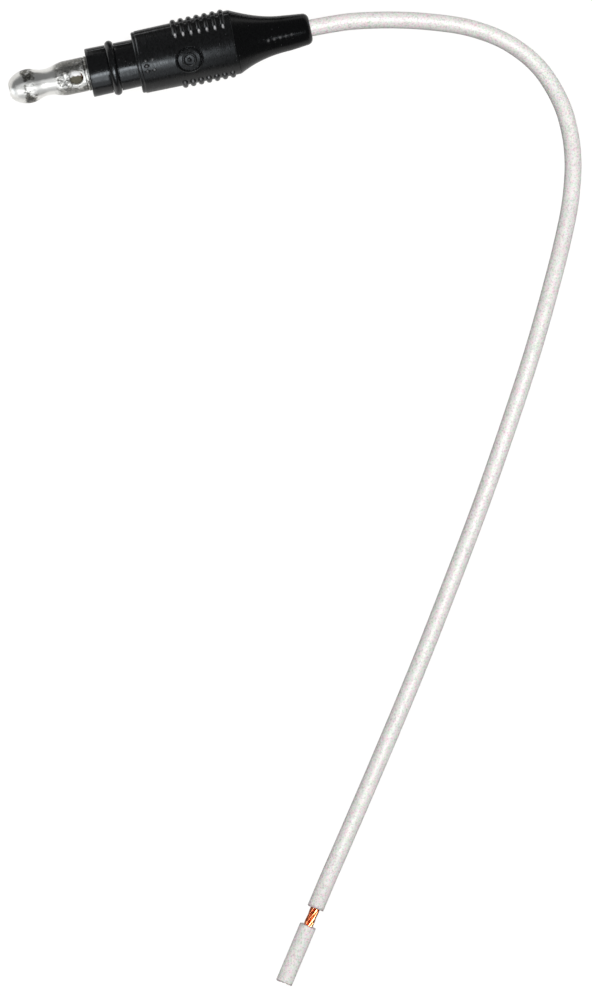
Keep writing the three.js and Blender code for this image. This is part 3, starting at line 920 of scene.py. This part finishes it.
def tube(name, path, outer_r, bore_r, body, replaced, material, columns=40, ragged=0.0):
    """A hollow tube along a path, with square-cut ends that may be a little ragged."""
    frames = frames_along(path)
    edge = 0.07
    rings = []

    def ring(index, r, inwards=0.0):
        """inwards shortens the tube's end by that much, and a ragged cut shortens it unevenly."""
        ahead = (path[1] - path[0]) if index == 0 else (path[-2] - path[-1])
        ahead.normalize()
        points = circle_points(frames[index], r, columns)
        for k, point in enumerate(points):
            turn = TAU * k / columns
            rough = 0.45 + noise.noise(Vector((2.2 * math.cos(turn), 2.2 * math.sin(turn), index * 0.3)))
            points[k] = point + ahead * (inwards + ragged * max(0.0, rough))
        return points

    rings.append(ring(0, bore_r))
    rings.append(ring(0, outer_r - edge))
    rings.append(ring(0, outer_r - edge * 0.3, edge * 0.3))
    rings.append(ring(0, outer_r, edge))
    rings += [circle_points(f, outer_r, columns) for f in frames[1:-1]]
    rings.append(ring(-1, outer_r, edge))
    rings.append(ring(-1, outer_r - edge * 0.3, edge * 0.3))
    rings.append(ring(-1, outer_r - edge))
    rings.append(ring(-1, bore_r))
    inner = list(range(len(frames) - 2, 0, -1))
    rings += [circle_points(frames[i], bore_r, columns) for i in inner]
    points = [p for r in rings for p in r]
    piece = add_piece(name, points, looped_faces(len(rings), columns), body, replaced)
    last = len(frames) + 5
    cut_ends = {*range(END_RINGS), *range(last - END_RINGS + 1, len(rings))}
    # Painted shade: the cut ends are marked for the material to darken.
    store_marks_and_painted_light(piece, [0.8 if i in cut_ends else 0.0 for i in range(len(rings)) for _ in range(columns)])
    piece.data.materials.append(material)
    return piece


def strand(name, path, r, ring_r, start_angle, replaced, material, columns=12):
    """One drawn wire, laid in a right-hand helix round the path."""
    rings, reached = [], 0.0
    whole = sum((q - p).length for p, q in zip(path, path[1:]))
    centres = []
    for i, (point, sideways, upwards) in enumerate(frames_along(path)):
        if i:
            reached += (path[i] - path[i - 1]).length
        angle = start_angle + (reached - whole) / STRAND_LAY * TAU
        centres.append(point + ring_r * (math.cos(angle) * sideways - math.sin(angle) * upwards))
    for here in frames_along(centres):
        rings.append(circle_points(here, r, columns))
    points = [p for ring in rings for p in ring]
    faces = looped_faces(len(rings), columns, close=False)
    faces.append(tuple(reversed(range(columns))))
    faces.append(tuple(range(len(points) - columns, len(points))))
    piece = add_piece(name, points, faces, "plug_and_lead", replaced)
    piece.data.materials.append(material)
    return piece


def lead(white, copper):
    """The lead, its strands and the loose slug."""
    insulation = tube("lead", LEAD_PATH, LEAD_R, LEAD_BORE_R, "plug_and_lead",
                      ["lead_insulation"], white, ragged=0.12)
    slug = tube("slug", past_cut(SLUG_DRAWN, SLUG_DRAWN + SLUG_LENGTH, 0.4), LEAD_R, LEAD_BORE_R,
                "loose_slug", ["insulation_slug"], white, ragged=0.22)
    front = [Vector((x, 0, AXIS_Z)) for x in steps_between(CORE_FRONT_X, ROUTE[0][0], 0.6)[:-1]]
    whole = [*front, *LEAD_PATH, *past_cut(0, SLUG_LENGTH, 0.5)[1:]]
    strands = [strand("strand_centre", whole, STRAND_R, 0.0, 0.0, ["strand_core", "conductor"], copper)]
    for i in range(STRAND_COUNT):
        strands.append(strand(f"strand_outer_{i + 1}", whole, STRAND_R, STRAND_RING_R,
                              TAU * i / STRAND_COUNT, [f"strand_{i + 1}"], copper))
    return [insulation, slug, *strands]


# ---- Stage -----------------------------------------------------------------------------------

VIEW_HEIGHT = 189.24                # millimetres that the picture's height covers
VIEW_CENTRE = Vector((7.79, -87.15, 5))
VIEW_TURN = math.radians(-12.1)     # the plug's axis rises to the right in the picture
LENS, SENSOR = 600, 36
COOL, NEUTRAL, WARM = (0.87, 0.94, 1.0), (0.97, 0.985, 1.0), (1, 0.995, 0.985)


def camera():
    data = bpy.data.cameras.new("camera")
    data.lens, data.sensor_width = LENS, SENSOR
    data.clip_start, data.clip_end = 0.01, 20
    away = VIEW_HEIGHT * LENS / SENSOR
    place = bpy.data.objects.new("camera", data)
    place.location = (VIEW_CENTRE + Vector((0, 0, away))) * MM
    place.rotation_euler = (0, 0, VIEW_TURN)
    bpy.context.scene.collection.objects.link(place)
    bpy.context.scene.camera = place


def softbox(name, target, towards, distance, size, radiance, turn=0.0, colour=COOL,
            diffuse=False, glossy=True, only=()):
    """A rectangular lamp that faces target; towards points from the target to it.

    Radiance is what a mirror would see in it, and size is (along X, across), before turn. It may
    light matt surfaces, show in shiny ones, or both, and may be kept to the pieces in only.
    """
    data = bpy.data.lights.new(name, "AREA")
    data.shape, data.size, data.size_y = "RECTANGLE", size[0] * MM, size[1] * MM
    data.energy = radiance * math.pi * data.size * data.size_y
    data.color = colour
    lamp = bpy.data.objects.new(name, data)
    facing = Vector(towards).normalized()
    along = Vector((math.cos(turn), math.sin(turn), 0))
    along = (along - facing * along.dot(facing)).normalized()
    axes = Matrix((along, facing.cross(along), facing)).transposed()
    lamp.matrix_world = Matrix.Translation((Vector(target) + facing * distance) * MM) @ axes.to_4x4()
    lamp.visible_camera = False
    lamp.visible_diffuse, lamp.visible_glossy = diffuse, glossy
    bpy.context.scene.collection.objects.link(lamp)
    if only:
        group = bpy.data.collections.new(name)
        for piece in only:
            group.objects.link(piece)
        lamp.light_linking.receiver_collection = group
    return lamp


def lit_without_shadow(lamp, surface):
    """Keeps a lamp to one surface, with nothing that stands on it in the way."""
    group = bpy.data.collections.new(lamp.name)
    group.objects.link(surface)
    lamp.light_linking.receiver_collection = group
    lamp.light_linking.blocker_collection = group


def sheet(name, z, x_range, y_range, grey, camera_sees):
    """A flat sheet of plain paper; the camera sees one, and the object is lit and mirrored by others,
    darker ones that stand for floor in shade as painted shade.
    """
    mesh = bpy.data.meshes.new(name)
    corners = [(x_range[0], y_range[0]), (x_range[1], y_range[0]),
               (x_range[1], y_range[1]), (x_range[0], y_range[1])]
    mesh.from_pydata([Vector((x, y, z)) * MM for x, y in corners], [], [(0, 1, 2, 3)])
    plane = bpy.data.objects.new(name, mesh)
    bpy.context.scene.collection.objects.link(plane)
    s = Shader(name, (grey, grey, grey), 0.9)
    fibre = s.noise((0.2, 0.2, 0.2), detail=4)
    s.feed(Base_Color=s.ramp(fibre, [(0.3, grey * 0.99), (0.7, grey * 1.01)]))
    mesh.materials.append(s.material)
    plane.visible_camera = camera_sees
    plane.visible_glossy = plane.visible_diffuse = not camera_sees
    plane.visible_shadow = False
    return plane


def floor():
    far = 1500
    seen = sheet("floor", 0, (-far, far), (-far, far), 0.9, camera_sees=True)
    # Painted shade: darker copies of the floor, hidden from the camera, are what the object mirrors and
    # is lit by from below, standing for floor in the shade of the plug and lead.
    sheet("bounce", 0.01, (COLLAR_X[0], far), (-far, far), 0.45, camera_sees=False)
    sheet("bounce_contact", 0.01, (-far, COLLAR_X[0]), (-far, far), 0.8, camera_sees=False)
    # Painted shadow: a near-black sheet along the plug's +Y side, seen only in reflections, stands for
    # the plug's shadow on the floor there.
    beside_plug = (COLLAR_X[0] + 0.4, BOOT_TIP_X + 1)
    dark = sheet("painted_shadow_card", 0.03, beside_plug, (12, 300), 0.04, camera_sees=False)
    dark.visible_diffuse = False
    return seen


def tilted(degrees):
    """Direction that leans from straight up towards -Y."""
    return (0, -math.sin(math.radians(degrees)), math.cos(math.radians(degrees)))


def light_matt_surfaces(seen_floor, leads):
    """Even light from high overhead, which leaves only a faint soft shadow on the floor."""
    side, away = 300, 1500
    radiance = 9.0 / (side * MM) ** 2
    above, straight_down = (5, -50, 0), (0, 0, 1)
    matt = {"colour": WARM, "diffuse": True, "glossy": False}
    others = [o for o in bpy.context.scene.collection.objects
              if o.type == "MESH" and o is not seen_floor and o not in leads]
    softbox("overhead", above, straight_down, away, (side, side), radiance, only=others, **matt)
    softbox("over_lead", above, (0.23, 0.1, 1), away, (side, side), radiance * 0.95, only=leads, **matt)
    fill = softbox("floor_fill", above, straight_down, away, (side, side), radiance * 0.78, **matt)
    lit_without_shadow(fill, seen_floor)
    softbox("floor_shade", above, straight_down, away, (1000, 1000), 2.2, only=[seen_floor], **matt)


def light_contact(contact, grip):
    """Bands along the bright contact, and the light that its nose and the grip's shoulder catch."""
    for name, degrees, width, level in (
        ("contact_low", 64, 34, 0.6), ("contact_middle", 30, 32, 1.45),
        ("contact_high", -8, 24, 0.85), ("contact_back", -60, 48, 0.12),
    ):
        softbox(name, (-44, 0, AXIS_Z), tilted(degrees), 50, (116, width), level, colour=NEUTRAL,
                only=[contact])
    softbox("contact_key", (-16, 0, AXIS_Z), tilted(24), 60, (40, 12), 2.6, colour=NEUTRAL,
            only=[contact])
    softbox("ahead", (-26, 0, AXIS_Z), (-1, -0.4, 0.25), 60, (60, 50), 0.45, turn=math.pi / 2,
            colour=NEUTRAL, only=[contact])
    softbox("from_nose", (-20, 0, AXIS_Z), (-1, -0.22, 0.08), 140, (60, 22), 2.5, turn=math.pi / 2,
            only=[contact, grip])


def light_mouldings(collar, ring, grip, boot):
    """The sheen along the black mouldings, and on the flanks of the finger ribs."""
    for name, x, degrees, distance, size, level, pieces in (
        ("key", -9, 19, 60, (26, 12), 9.0, [collar, ring, grip]),
        ("collar_wing", -12, 38, 62, (18, 30), 3.2, [collar, ring]),
        ("ring_gleam", -12, 21, 60, (70, 16), 7.0, [ring]),
        ("collar_low", -12, 64, 62, (26, 26), 0.9, [collar]),
        ("grip_wing", -4, 32, 60, (24, 14), 2.2, [grip]),
        ("grip_low", -3, 55, 60, (24, 26), 0.7, [grip]),
    ):
        softbox(name, (x, 0, AXIS_Z), tilted(degrees), distance, size, level, only=pieces)
    for name, towards, level in (
        ("rib_sheen", (-1, 0.9, 0.3), 2.2),
        ("rib_sheen_right", (1, 0.8, 0.3), 0.9),
    ):
        softbox(name, (8, 0, AXIS_Z), towards, 60, (44, 34), level, turn=math.pi / 2, only=[grip])
    softbox("over_boot", (38, 0, AXIS_Z), tilted(20), 60, (6, 7), 5.0, only=[boot])


def light_lead(leads):
    """The white line along the lead, and the glint of the bare strands."""
    softbox("lead_gloss", (10, -85, 0), (0.26, 0.08, 1), 1200, (420, 420), 90, colour=WARM, only=leads)
    wires = [piece for piece in leads if piece.name.startswith("strand")]
    softbox("wire_key", CUT, (-0.62, 0.2, 1), 60, (13, 30), 10.0, colour=NEUTRAL, only=wires)
    softbox("wire_fill", CUT, (0.2, -0.2, 1), 60, (90, 90), 0.12, colour=NEUTRAL, only=wires)


def studio(seen_floor, contact, collar, ring, grip, boot, leads):
    scene = bpy.context.scene
    scene.view_settings.view_transform = "Standard"
    world = bpy.data.worlds.new("world")
    world.use_nodes = True
    background = world.node_tree.nodes["Background"]
    background.inputs["Color"].default_value = (0.95, 0.97, 1.0, 1)
    background.inputs["Strength"].default_value = 0.11
    scene.world = world
    light_matt_surfaces(seen_floor, leads)
    light_contact(contact, grip)
    light_mouldings(collar, ring, grip, boot)
    light_lead(leads)


camera()
seen_floor = floor()
leads = lead(silicone(), bare_copper())
studio(
    seen_floor,
    contact_pin(nickel(), drawn_bore()),
    front_collar(moulded_black("collar_black", 0.19, 1.0)),
    sealing_ring(moulded_black("ring_black", 0.24, 0.3)),
    grip_shell(moulded_black("grip_black", 0.27, 1.0)),
    tail_boot(moulded_black("boot_black", 0.22, 0.4, level=0.34, pale=0.4)),
    leads,
)
for node, made in (
    ("retaining_washer", plain_metal("washer_steel", (0.55, 0.56, 0.57), (0.42, 0.43, 0.44), 0.38)),
    ("lead_ferrule", plain_metal("ferrule_brass", (0.72, 0.58, 0.30), (0.55, 0.42, 0.20), 0.34)),
):
    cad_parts[node].material_slots[0].material = made
